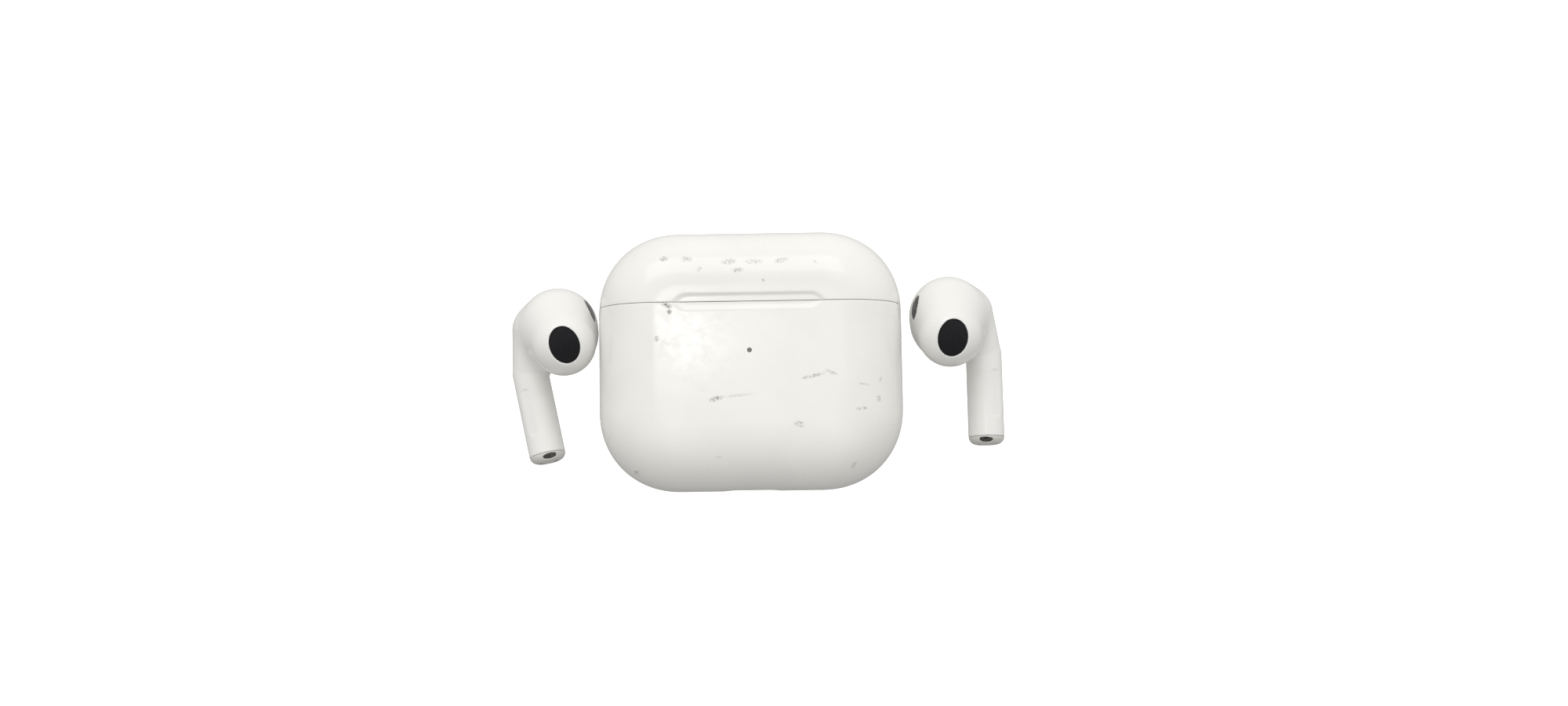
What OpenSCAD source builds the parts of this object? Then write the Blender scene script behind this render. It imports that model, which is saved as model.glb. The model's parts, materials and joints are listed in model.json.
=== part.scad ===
// Wireless earbuds with their charging case, the case closed and lying on its back.
// Row frame: X across the case, Y up its height towards the lid, Z up from the surface it lies on.
// The origin is the middle of the case's flat back.

/* [Case] */
// Width of the case
case_w = 54.4; // [50:0.1:60]
// Height of the case, from its base to the top of the lid
case_h = 46.4; // [44:0.1:52]
// Thickness of the case, front to back
case_t = 21.38; // [21:0.01:23]
// Corner radius of the front outline
corner_r = 14; // [12:0.5:18]
// Thickness of the outer shells
wall = 1.2; // [1:0.1:1.4]
// Height of the lid, from the seam to the top
lid_h = 13.5; // [12:0.1:15]
// Gap between lid and base along the seam
seam_gap = 0.12; // [0.1:0.02:0.2]

/* [Thumb recess] */
// Width of the recess at the seam
recess_w = 26; // [20:0.5:30]
// Height of the recess, half on each side of the seam
recess_h = 3.3; // [2:0.1:4]
// Depth of the recess
recess_depth = 0.4; // [0.2:0.05:0.6]

/* [Hinge] */
// Distance of the hinge axis in front of the flat back
hinge_z = 1; // [0.9:0.05:1.2]
// Radius of the hinge pin
hinge_pin_r = 0.4; // [0.3:0.05:0.5]
// Outer radius of the hinge knuckles
knuckle_r = 0.95; // [0.8:0.05:1]
// Half width of the hinge
hinge_half_w = 11.6; // [9:0.1:13]
// Half angle of the relief that lets the lid swing back
relief_angle = 51; // [45:1:55]

/* [Setup button and status light] */
// Radius of the setup button
button_r = 3.2; // [2.5:0.1:4]
// Height of the button's centre
button_y = -4; // [-6:0.5:-3.5]
// Distance of the status light below the seam
light_drop = 8.6; // [6:0.1:10]
// Radius of the status light's window
light_r = 0.45; // [0.3:0.05:0.8]

/* [Charging port] */
// Width of the port's mouth
port_w = 9; // [8.5:0.1:10]
// Height of the port's mouth
port_t = 3.4; // [3:0.1:4]

/* [Earbud] */
// Half width of the earbud's head
head_r = 7.1; // [7:0.1:7.2]
// Radius of the stem
stem_r = 3.3; // [2.9:0.1:3.4]
// Wall thickness of the earbud's shells
bud_wall = 0.8; // [0.6:0.1:0.9]
// Clearance of the earbud in its well
well_gap = 0.25; // [0.2:0.05:0.3]
// Tilt of the left stem's tip off the surface
left_pitch = 3.5; // [0:0.5:8]
// Tilt of the right stem's tip off the surface
right_pitch = 6; // [0:0.5:8]
// Turn of the right earbud, which leans towards the case
bud_turn = 12.5; // [0:0.5:20]
// Roll of the right earbud towards the case
bud_roll = 7; // [0:0.5:10]

/* [Hidden] */
$fn = 64;
eps = 0.01;
big = 80;                                  // larger than the whole set, for cutting
mid_z = case_t / 2;
edge_r = case_t / 2;                       // the edge of the case is a full half round
core = corner_r - edge_r;                  // from a corner's centre to the centre of its round edge
corner_x = case_w / 2 - corner_r;
corner_y = case_h / 2 - corner_r;
seam_y = case_h / 2 - lid_h;
base_top = seam_y - seam_gap / 2;
lid_bottom = seam_y + seam_gap / 2;
light_y = seam_y - light_drop;
glue = 0.05;                               // bond line between a shell and what is glued into it
skin = wall + glue;                        // inset of the cradle's and the lid liner's outer face
liner_t = 0.7;
cavity = skin + liner_t;                   // inset of the hollow inside the lid
lip_inset = cavity + 0.25;
lip_h = 1;
deck_h = 4.4;
leaf_t = 0.6;                              // thickness of the hinge's plates
leaf_z = skin;
knuckle_gap = 0.1;
knuckle_split = 6.6;                       // from the middle knuckle's end to the mid plane
bore_r = hinge_pin_r + 0.05;
screw_r = 0.5;
screw_head_r = 0.9;
screw_x = 4.4;
base_screw_y = seam_y - 3.6;
leaf_screw_y = seam_y + 2.1;
boss_z = 2.9;
magnet_w = 5.6;
coil_y = button_y - 0.4;
coil_r = 6.9;
coil_turns = 8;
coil_pitch = 0.3;
boss_w = 7.6;                              // the lid magnet's boss

// Earbud, about the centre of its head: the stem runs down -Y, the sound outlet faces +Z
stem_x = 6.7;
stem_z = -4;
stem_top = -5.7;
tip_y = -22.4;
head_half = 1;                           // half the straight length of the head's capsule
nose = [-0.2, -3.2, 4.9];
nose_r = 5.8;
neck = [3.8, 1.8, -2.6];
neck_r = 4.45;
split_z = 1.4;                             // where the head's front and rear shells meet
outlet_tilt = 18;
outlet_w = 5.4;
outlet_l = 6.6;
flat_x = 3.15;                             // from the stem's axis to its pinch flat
flat_w = 2.6;
flat_l = 8.5;
flat_y = -13.2;
flat_turn = 59;                            // the flat faces up from the stem's outer side by this
mic_z = 1.6;
tip_h = 1.4;

left_bud_at = [36.1, 7.3];                 // where the earbuds lie beside the case
right_bud_at = [-34.9, 6.3];

// An earbud in its well, where the stem stands on the inner side
stored_x = 14.2;
stored_turn = 118.4;
function stored(x, z) = [stored_x + x * cos(stored_turn) + z * sin(stored_turn),
                         mid_z + x * sin(stored_turn) - z * cos(stored_turn)];
stored_nose = stored(nose.x, nose.z);
stored_neck = stored(neck.x, neck.z);
stored_stem = stored(stem_x, stem_z);
well_r = stem_r + 0.3;
tube_r = well_r + 0.5;
pod_x = 4.6;
pod_w = 20.4;
pod_y = -0.4;
tip_stored = seam_y + tip_y;
block_top = tip_stored - 0.1;
block_h = 2;
pin_r = 0.4;
pin_x = 1.9;
pin_out = 0.4;

BUD_PARTS = ["rear_shell", "front_shell", "outlet_mesh", "vent_mesh", "skin_sensor", "driver", "battery",
             "board", "stem_flex", "tip_cap", "tip_contacts", "mic_mesh"];
CASE_PARTS = ["base_shell", "cradle", "hinge_bracket", "hinge_pin", "bracket_screws", "battery_cell",
              "battery_flex", "main_board", "board_chips", "charging_coil", "ferrite_sheet", "align_magnets",
              "port_ring", "port_socket", "port_contacts", "light_flex", "light_pipe", "lid_sensor",
              "base_magnet", "well_magnets", "left_contact_block", "right_contact_block", "button_switch",
              "setup_button", "left_contact_pins", "right_contact_pins", "left_pin_springs",
              "right_pin_springs", "lid_shell", "lid_liner", "lid_magnet", "hinge_leaf", "leaf_screws"];
NODES = concat(CASE_PARTS, [for (side = ["left", "right"]) for (p = BUD_PARTS) str(side, "_bud_", p)]);
node = "all";

function shown(name) = node == "all" || node == name;

// ---------- shared shapes ----------

// Half section of the case's edge: a flat of length core, then a half round
module edge_section(inset) {
    r = edge_r - inset;
    translate([0, -r]) square([core, 2 * r]);
    intersection() {
        translate([core, 0]) circle(r);
        translate([core, -r]) square([r, 2 * r]);
    }
}

// The case's outer form, shrunk all round by inset
module slab(inset) {
    translate([0, 0, mid_z]) {
        for (sx = [-1, 1], sy = [-1, 1])
            translate([sx * corner_x, sy * corner_y, 0])
                rotate([0, 0, sx > 0 ? (sy > 0 ? 0 : 270) : (sy > 0 ? 90 : 180)])
                    rotate_extrude(angle = 90) edge_section(inset);
        for (s = [-1, 1]) {
            rotate([90, 0, s * 90]) translate([corner_y, 0, -corner_x])
                linear_extrude(2 * corner_x) edge_section(inset);
            translate([s * corner_x, corner_y, 0]) rotate([90, 0, s > 0 ? 0 : 180])
                translate([0, 0, s > 0 ? 0 : -2 * corner_y])
                    linear_extrude(2 * corner_y) edge_section(inset);
        }
        cube([2 * corner_x, 2 * corner_y, 2 * (edge_r - inset)], center = true);
    }
}

// The slab between two heights
module slab_between(inset, y0, y1) {
    intersection() {
        slab(inset);
        translate([-big / 2, y0, -eps]) cube([big, y1 - y0, case_t + 2 * eps]);
    }
}

module block(x0, x1, y0, y1, z0, z1) {
    translate([x0, y0, z0]) cube([x1 - x0, y1 - y0, z1 - z0]);
}

// A cylinder along X, and one along Y
module rod_x(x0, x1, y, z, r) {
    translate([x0, y, z]) rotate([0, 90, 0]) cylinder(h = x1 - x0, r = r);
}

module rod_y(x, z, y0, y1, r) {
    translate([x, y1, z]) rotate([90, 0, 0]) cylinder(h = y1 - y0, r = r);
}

// A cone or cylinder between two points
module bar(a, b, ra, rb) {
    d = b - a;
    translate(a) rotate([0, acos(d.z / norm(d)), atan2(d.y, d.x)]) cylinder(h = norm(d), r1 = ra, r2 = rb);
}

module stadium(w, l) {
    for (s = [-1, 1]) translate([0, s * (l - w) / 2]) circle(w / 2);
    square([w, l - w], center = true);
}

// ---------- hinge cuts shared by shells, cradle and liner ----------

module hinge_clearance(extra) {
    rod_x(-hinge_half_w - 0.3, hinge_half_w + 0.3, seam_y, hinge_z, knuckle_r + extra);
}

// The V along the back of the seam, with its point on the hinge axis
module swing_relief() {
    reach = 2;
    spread = reach * tan(relief_angle);
    rotate([90, 0, 90]) translate([0, 0, -22]) linear_extrude(44)
        polygon([[seam_y, hinge_z], [seam_y + spread, hinge_z - reach], [seam_y - spread, hinge_z - reach]]);
}

module thumb_recess() {
    slant = 1.3;
    translate([0, seam_y, case_t - recess_depth]) linear_extrude(recess_depth + 1)
        polygon([for (p = [[-1, 0], [-1, 1], [1, 1], [1, 0], [1, -1], [-1, -1]])
            [p.x * (recess_w / 2 - abs(p.y) * slant), p.y * recess_h / 2]]);
}

module port_opening(w, t, y0, y1) {
    translate([0, y1, mid_z]) rotate([90, 0, 0]) linear_extrude(y1 - y0) rotate(90) stadium(t, w);
}

// ---------- case: lower part ----------

module base_shell() {
    color("whitesmoke") difference() {
        slab_between(0, -case_h / 2 - 1, base_top);
        slab(wall);
        swing_relief();
        hinge_clearance(0.2);
        thumb_recess();
        port_opening(port_w + 1.2, port_t + 1.2, -case_h / 2 - 1, -case_h / 2 + 3);
        translate([0, button_y, -1]) cylinder(h = 3, r = button_r + 0.12);
        translate([0, light_y, case_t - 3]) cylinder(h = 4, r = light_r + 0.02);
    }
}

// Room for the stored earbud, open upwards so that it drops in: flat-bottomed pockets for
// its head, nose and neck, and a bore for its stem
module well(s) {
    top = seam_y + 9;
    rod_y(s * stored_x, mid_z, seam_y - head_half - head_r - well_gap, top, head_r + well_gap);
    rod_y(s * stored_nose.x, stored_nose.y, seam_y + nose.y - nose_r - well_gap, top, nose_r + well_gap);
    rod_y(s * stored_neck.x, stored_neck.y, seam_y - 4.6, top, neck_r + well_gap);
    between = (stored_stem + stored_neck) / 2;
    rod_y(s * between.x, between.y, seam_y - 5.5, top, 4.1);
    rod_y(s * stored_stem.x, stored_stem.y, block_top - block_h - 1, top, well_r);
}

// The wells' walls below the deck: a pod round the head, a tube round the stem
module well_walls(s) {
    x0 = s > 0 ? pod_x : -pod_x - pod_w;
    block(x0, x0 + pod_w, pod_y, base_top - 1, skin + 1.2, case_t - skin - 0.8);
    rod_y(s * stored_stem.x, stored_stem.y, block_top - block_h, base_top - 1, tube_r);
}

module cradle() {
    color("white") difference() {
        union() {
            intersection() {
                slab(skin);
                union() {
                    block(-30, 30, base_top - deck_h, base_top, -1, case_t + 1);
                    for (s = [-1, 1]) well_walls(s);
                }
            }
            slab_between(lip_inset, base_top - 1, base_top + lip_h);
        }
        for (s = [-1, 1]) well(s);
        hinge_clearance(0.25);
        block(-hinge_half_w - 0.3, hinge_half_w + 0.3, base_top - eps, base_top + 2, 0, boss_z + 0.4);
        block(-hinge_half_w - 0.1, hinge_half_w + 0.1, base_screw_y - 1.6, base_top + 1,
              0, leaf_z + leaf_t + glue);
        block(-boss_w / 2 - 0.3, boss_w / 2 + 0.3, base_top + eps, base_top + 2, 16.2, case_t);
        block(-magnet_w / 2 - glue, magnet_w / 2 + glue, base_top - 3.2, base_top - 1, 17.4, case_t);
        for (s = [-1, 1]) translate([s * screw_x, base_screw_y, 0]) cylinder(h = 4, r = screw_r);
    }
}

module hinge_bracket() {
    color("silver") difference() {
        union() {
            block(-hinge_half_w, hinge_half_w, base_screw_y - 1.5, seam_y - knuckle_r - 0.25,
                  leaf_z, leaf_z + leaf_t);
            for (s = [-1, 1]) {
                a = s > 0 ? knuckle_split + knuckle_gap : -hinge_half_w;
                b = s > 0 ? hinge_half_w : -knuckle_split - knuckle_gap;
                rod_x(a, b, seam_y, hinge_z, knuckle_r);
                block(a, b, seam_y - knuckle_r - 0.3, seam_y, leaf_z, leaf_z + leaf_t);
            }
        }
        rod_x(-20, 20, seam_y, hinge_z, hinge_pin_r);
        for (s = [-1, 1]) screw_hole(s * screw_x, base_screw_y);
    }
}

module hinge_pin() {
    color("silver") rod_x(-hinge_half_w + 0.1, hinge_half_w - 0.1, seam_y, hinge_z, hinge_pin_r);
}

// A screw driven towards +Z, its head sunk in the plate
module screw(x, y, l) {
    translate([x, y, leaf_z + 0.02]) difference() {
        union() {
            cylinder(h = l, r = screw_r - 0.02);
            cylinder(h = 0.28, r = screw_head_r);
        }
        translate([0, 0, -1]) cylinder(h = 1.15, r = 0.35, $fn = 6);
    }
}

module screw_hole(x, y) {
    translate([x, y, 0]) {
        cylinder(h = 4, r = screw_r + 0.05);
        cylinder(h = leaf_z + 0.32, r = screw_head_r + 0.05);
    }
}

module bracket_screws() {
    color("darkgray") for (s = [-1, 1]) screw(s * screw_x, base_screw_y, 2.4);
}

module battery_cell() {
    color("dimgray") difference() {
        block(-11, 11, -14.2, -0.6, 3.6, 9.8);
        block(-12, 12, -14.3, -13.2, 3.5, 4.4);
    }
}

module battery_flex() {
    color("orange") {
        block(-3, 3, -14.8, -14.25, 5, 9);
        block(-3, 3, -15.1, -14.8, 5, 7);
    }
}

module main_board() {
    color("darkgreen") difference() {
        intersection() {
            block(-13, 13, -15.9, -15.15, 4, 17.4);
            slab(skin + 0.4);
        }
        for (s = [-1, 1]) rod_y(s * 11, 15, -17, -14, 0.6);
    }
}

module board_chips() {
    color("black") {
        block(-11.5, -7.5, -16.7, -15.92, 9, 13);
        block(7, 10, -16.8, -15.92, 8, 11);
        block(7.4, 9.4, -16.5, -15.92, 12, 14);
        block(-10.4, -8.4, -16.4, -15.92, 5.6, 7.2);
    }
}

module charging_coil() {
    color("peru") translate([0, coil_y, skin + 0.05]) for (k = [0 : coil_turns - 1])
        difference() {
            cylinder(h = 0.5, r = coil_r - k * coil_pitch);
            translate([0, 0, -1]) cylinder(h = 3, r = coil_r - k * coil_pitch - 0.22);
        }
}

module ferrite_sheet() {
    color("#303035") difference() {
        translate([0, coil_y, skin + 0.6]) cylinder(h = 0.4, r = coil_r + 1.9);
        translate([0, coil_y, 0]) cylinder(h = 4, r = coil_r - coil_turns * coil_pitch);
        block(-hinge_half_w - 1, hinge_half_w + 1, base_screw_y - 2, 20, 0, 4);
    }
}

module align_magnets() {
    color("silver") for (k = [5 : 12])
        translate([0, coil_y, skin + 0.05]) rotate([0, 0, 30 * k + 15])
            translate([coil_r + 0.4, -1.7, 0]) cube([1.3, 3.4, 0.5]);
}

module port_ring() {
    color("silver") intersection() {
        difference() {
            port_opening(port_w + 1.1, port_t + 1.1, -case_h / 2 - 1, -case_h / 2 + 1.4);
            port_opening(port_w, port_t, -case_h / 2 - 2, -case_h / 2 + 3);
        }
        slab(0.1);
    }
}

module port_socket() {
    color("dimgray") difference() {
        port_opening(port_w + 1, port_t + 1, -case_h / 2 + 1.45, -16.85);
        port_opening(port_w, port_t, -case_h / 2 + 1, -17.6);
    }
}

module port_contacts() {
    color("gold") for (k = [0 : 7])
        block(-2.86 + k * 0.76, -2.46 + k * 0.76, -20.6, -17.62,
              mid_z - port_t / 2 + eps, mid_z - port_t / 2 + 0.35);
}

module light_flex() {
    color("orange") {
        block(-1.4, 1.4, -14.6, light_y + 1.5, 18.6, 18.75);
        block(-1.4, 1.4, -15.15, -14.6, 16, 18.75);
        block(-0.6, 0.6, light_y - 0.6, light_y + 0.6, 18.75, 19.15);
    }
}

module light_pipe() {
    color("lightgray") {
        translate([0, light_y, 19.2]) cylinder(h = 0.93, r = 1.1);
        translate([0, light_y, 20.1]) cylinder(h = case_t - 20.1 - 0.15, r = light_r);
    }
}

module lid_sensor() {
    color("black") block(-1.2, 1.2, base_top - deck_h - 0.7, base_top - deck_h - 0.02, 17.2, 18.8);
}

module base_magnet() {
    color("silver") block(-magnet_w / 2, magnet_w / 2, base_top - 3.15, base_top - 1.05, 17.45, 19);
}

module well_magnets() {
    color("silver") for (s = [-1, 1])
        block(s * stored_x - 2.5, s * stored_x + 2.5, -1.85, -0.45, 8.2, 13.2);
}

// ---------- contacts at the foot of each well ----------

// At the foot of the well on side s, its Z up the stem and its origin on the block's top
module at_contacts(s) {
    translate([s * stored_stem.x, block_top, stored_stem.y]) rotate([-90, 0, 0]) children();
}

module contact_block(s) {
    color("#404045") at_contacts(s) difference() {
        translate([0, 0, -block_h]) cylinder(h = block_h, r = well_r - 0.02);
        for (k = [-1, 1]) translate([k * pin_x, 0, 0]) {
            translate([0, 0, -3]) cylinder(h = 4, r = pin_r + 0.05);
            translate([0, 0, -block_h - 1]) cylinder(h = block_h + 0.5, r = pin_r + 0.35);
        }
    }
}

module contact_pins(s) {
    color("gold") at_contacts(s) for (k = [-1, 1]) translate([k * pin_x, 0, 0]) {
        translate([0, 0, -0.9]) cylinder(h = 0.9 + pin_out, r = pin_r);
        translate([0, 0, -0.9]) cylinder(h = 0.3, r = pin_r + 0.28);
    }
}

// Rings stacked as a spring's turns, on a core that joins them
module pin_springs(s) {
    color("silver") at_contacts(s) for (k = [-1, 1]) translate([k * pin_x, 0, -block_h]) {
        cylinder(h = 1.08, r = 0.3);
        for (n = [0 : 3]) translate([0, 0, 0.1 + n * 0.28]) cylinder(h = 0.16, r = 0.5);
    }
}

module button_switch() {
    color("#404045") {
        translate([0, button_y, 2.95]) translate([-2, -2, 0]) cube([4, 4, 0.6]);
        translate([0, button_y, 2.65]) cylinder(h = 0.4, r = 1);
    }
}

module setup_button() {
    color("whitesmoke") translate([0, button_y, 0]) {
        translate([0, 0, 0.12]) cylinder(h = 1.5, r = button_r);
        translate([0, 0, wall + 0.08]) cylinder(h = 0.42, r = button_r + 0.5);
        translate([0, 0, 1.5]) cylinder(h = 0.7, r = 0.9);
    }
}

// ---------- case: lid ----------

module lid_shell() {
    color("whitesmoke") difference() {
        slab_between(0, lid_bottom, case_h);
        slab(wall);
        swing_relief();
        hinge_clearance(0.2);
        thumb_recess();
    }
}

module lid_liner() {
    color("white") difference() {
        union() {
            difference() {
                slab_between(skin, lid_bottom, case_h);
                slab(cavity);
            }
            intersection() {
                union() {
                    block(-8, 8, lid_bottom, leaf_screw_y + 2, 0, boss_z);
                    block(-boss_w / 2, boss_w / 2, lid_bottom, lid_bottom + 3.6, 16.6, case_t);
                }
                slab_between(skin, lid_bottom, case_h);
            }
        }
        hinge_clearance(0.25);
        block(-knuckle_split - 0.1, knuckle_split + 0.1, 0, leaf_screw_y + 1.3, 0, leaf_z + leaf_t + glue);
        block(-hinge_half_w - 0.3, hinge_half_w + 0.3, 0, seam_y + 1.2, 0, boss_z - 0.8);
        block(-magnet_w / 2 - glue, magnet_w / 2 + glue, lid_bottom + 0.8, lid_bottom + 3, 17.4, case_t);
        for (s = [-1, 1]) translate([s * screw_x, leaf_screw_y, 0]) cylinder(h = boss_z - 0.3, r = screw_r);
    }
}

module lid_magnet() {
    color("silver") block(-magnet_w / 2, magnet_w / 2, lid_bottom + 0.85, lid_bottom + 2.95, 17.45, 19);
}

module hinge_leaf() {
    color("silver") difference() {
        union() {
            block(-knuckle_split, knuckle_split, seam_y, leaf_screw_y + 1.2, leaf_z, leaf_z + leaf_t);
            rod_x(-knuckle_split, knuckle_split, seam_y, hinge_z, knuckle_r);
        }
        rod_x(-20, 20, seam_y, hinge_z, bore_r);
        for (s = [-1, 1]) screw_hole(s * screw_x, leaf_screw_y);
    }
}

module leaf_screws() {
    color("darkgray") for (s = [-1, 1]) screw(s * screw_x, leaf_screw_y, 1.25);
}

// ---------- earbud, about the centre of its head ----------

// The whole outside of an earbud, shrunk by inset
module bud_form(inset) {
    r = head_r - inset;
    for (s = [-1, 1]) translate([0, s * head_half, 0]) sphere(r);
    rod_y(0, 0, -head_half, head_half, r);
    translate(nose) sphere(nose_r - inset);
    bar([0, 0, 0], nose, r - 0.1, nose_r - inset - 0.02);
    rod_y(stem_x, stem_z, tip_y + (inset > 0 ? tip_h : 0), stem_top, stem_r - inset);
    translate([stem_x, stem_top, stem_z]) sphere(stem_r - inset);
    bar([stem_x, stem_top, stem_z], neck, stem_r - inset - 0.01, neck_r - inset - 0.02);
    translate(neck) sphere(neck_r - inset);
}

// Turned to the direction that the sound outlet faces, with its origin in the nose
module at_outlet() {
    translate(nose) rotate([outlet_tilt, 0, 0]) children();
}

module at_sensor() {
    translate([0, 2, 0.8]) rotate([0, -72, 0]) children();
}

module at_vent() {
    rotate([-97, 0, 0]) rotate([0, 0, 90]) children();
}

module window_cuts() {
    at_outlet() linear_extrude(12) stadium(outlet_w, outlet_l);
    at_sensor() linear_extrude(12) stadium(2.2, 4.4);
}

module bud_rear_shell() {
    color("whitesmoke") difference() {
        bud_form(0);
        bud_form(bud_wall);
        at_vent() linear_extrude(12) stadium(1.8, 4.2);
        translate([-20, -40, split_z]) cube([40, 60, 40]);
        translate([stem_x, flat_y, stem_z]) rotate([0, -flat_turn, 0])
            translate([flat_x, -flat_l / 2, -flat_w / 2]) cube([2, flat_l, flat_w]);
        translate([-20, tip_y - 1, -20]) cube([40, tip_h + 1, 40]);
    }
}

module bud_front_shell() {
    color("whitesmoke") difference() {
        bud_form(0);
        bud_form(bud_wall);
        translate([-20, -40, split_z + 0.06 - 40]) cube([40, 60, 40]);
        window_cuts();
    }
}

// A thin patch of the shell's own surface, set a little below it
module patch(depth, thick) {
    intersection() {
        difference() {
            bud_form(depth);
            bud_form(depth + thick);
        }
        children();
    }
}

module bud_outlet_mesh() {
    color("black") patch(0.15, 0.35) at_outlet() linear_extrude(12) stadium(outlet_w - 0.04, outlet_l - 0.04);
}

module bud_skin_sensor() {
    color("black") patch(0.05, 0.5) at_sensor() linear_extrude(12) stadium(2.16, 4.36);
}

module bud_vent_mesh() {
    color("black") patch(0.15, 0.35) at_vent() linear_extrude(12) stadium(1.76, 4.16);
}

module bud_driver() {
    color("dimgray") difference() {
        translate([0, 0, split_z + 0.3]) cylinder(h = 2.4, r = 4.6);
        translate([0, 0, split_z + 2.3]) cylinder(h = 1, r = 3.9);
    }
}

module bud_battery() {
    color("silver") translate([0, 0, -4.6]) cylinder(h = 4.5, r = 4.4);
}

module bud_board() {
    color("darkgreen") {
        translate([0, 0, 0.2]) cylinder(h = 0.6, r = 5.4);
        translate([-1.8, -1.8, 0.8]) cube([3.6, 3.6, 0.5]);
    }
}

// Antenna and pinch sensor on one strip down the stem
module bud_stem_flex() {
    color("orange") {
        translate([stem_x - 1.5, tip_y + 2.2, stem_z - 0.1]) cube([3, 13.5, 0.2]);
        translate([stem_x + 1.3, flat_y - 3.5, stem_z - 1.1]) cube([0.3, 7, 2.2]);
        translate([stem_x, flat_y - 3, stem_z - 0.1]) cube([1.4, 6, 0.2]);
    }
}

// On the tip's face, Z out of it, above the stem's axis
module at_mic() {
    translate([stem_x, tip_y, stem_z + mic_z]) rotate([90, 0, 0]) rotate(90) children();
}

module bud_tip_cap() {
    color("whitesmoke") difference() {
        intersection() {
            rod_y(stem_x, stem_z, tip_y, tip_y + tip_h - 0.04, stem_r);
            translate([stem_x, tip_y + 4.9, stem_z]) sphere(5.75);
        }
        tip_crescents(0.03);
        at_mic() translate([0, 0, -0.5]) linear_extrude(2) stadium(1.1, 2.3);
    }
}

module tip_crescents(grow) {
    for (s = [-1, 1]) intersection() {
        difference() {
            rod_y(stem_x, stem_z, tip_y - 1, tip_y + 0.9 + grow, stem_r - 0.5 + grow);
            rod_y(stem_x, stem_z, tip_y - 2, tip_y + 3, stem_r - 1.3 - grow);
        }
        translate([stem_x + s * (2.6 - grow), tip_y, stem_z - 0.7])
            cube([4, 6, 2.6 + 2 * grow], center = true);
    }
}

module bud_tip_contacts() {
    color("silver") intersection() {
        tip_crescents(0);
        translate([stem_x, tip_y + 4.9, stem_z]) sphere(5.72);
    }
}

module bud_mic_mesh() {
    color("black") at_mic() translate([0, 0, -0.48]) linear_extrude(0.2) stadium(1.06, 2.26);
}

module bud_part(part) {
    if (part == "rear_shell") bud_rear_shell();
    if (part == "front_shell") bud_front_shell();
    if (part == "outlet_mesh") bud_outlet_mesh();
    if (part == "vent_mesh") bud_vent_mesh();
    if (part == "skin_sensor") bud_skin_sensor();
    if (part == "driver") bud_driver();
    if (part == "battery") bud_battery();
    if (part == "board") bud_board();
    if (part == "stem_flex") bud_stem_flex();
    if (part == "tip_cap") bud_tip_cap();
    if (part == "tip_contacts") bud_tip_contacts();
    if (part == "mic_mesh") bud_mic_mesh();
}

// The two earbuds are mirror images, and lie either side of the case
module place_bud(side) {
    if (side == "left")
        translate([left_bud_at.x, left_bud_at.y, head_r + head_half * sin(left_pitch)])
            rotate([-left_pitch, 0, 0]) children();
    else
        translate([right_bud_at.x, right_bud_at.y, head_r + head_half * sin(right_pitch)])
            rotate([0, 0, bud_turn]) rotate([-right_pitch, 0, 0]) rotate([0, bud_roll, 0])
                mirror([1, 0, 0]) children();
}

// ---------- the parts ----------

if (shown("base_shell")) base_shell();
if (shown("cradle")) cradle();
if (shown("hinge_bracket")) hinge_bracket();
if (shown("hinge_pin")) hinge_pin();
if (shown("bracket_screws")) bracket_screws();
if (shown("battery_cell")) battery_cell();
if (shown("battery_flex")) battery_flex();
if (shown("main_board")) main_board();
if (shown("board_chips")) board_chips();
if (shown("charging_coil")) charging_coil();
if (shown("ferrite_sheet")) ferrite_sheet();
if (shown("align_magnets")) align_magnets();
if (shown("port_ring")) port_ring();
if (shown("port_socket")) port_socket();
if (shown("port_contacts")) port_contacts();
if (shown("light_flex")) light_flex();
if (shown("light_pipe")) light_pipe();
if (shown("lid_sensor")) lid_sensor();
if (shown("base_magnet")) base_magnet();
if (shown("well_magnets")) well_magnets();
if (shown("left_contact_block")) contact_block(-1);
if (shown("right_contact_block")) contact_block(1);
if (shown("button_switch")) button_switch();
if (shown("setup_button")) setup_button();
if (shown("left_contact_pins")) contact_pins(-1);
if (shown("right_contact_pins")) contact_pins(1);
if (shown("left_pin_springs")) pin_springs(-1);
if (shown("right_pin_springs")) pin_springs(1);
if (shown("lid_shell")) lid_shell();
if (shown("lid_liner")) lid_liner();
if (shown("lid_magnet")) lid_magnet();
if (shown("hinge_leaf")) hinge_leaf();
if (shown("leaf_screws")) leaf_screws();
for (side = ["left", "right"], part = BUD_PARTS)
    if (shown(str(side, "_bud_", part))) place_bud(side) bud_part(part);
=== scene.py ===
"""The visual model of a wireless earbuds case, closed and lying on its back, with its two earbuds beside it.

Shapes are worked out in millimetres in the row frame (X across the case, Y towards its lid, Z up) and
stored in metres. The organic pieces are level sets of distance fields, meshed by a surface net.
"""

import json
import math

import bmesh
import bpy
import numpy as np
from mathutils import Matrix, Vector


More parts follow.
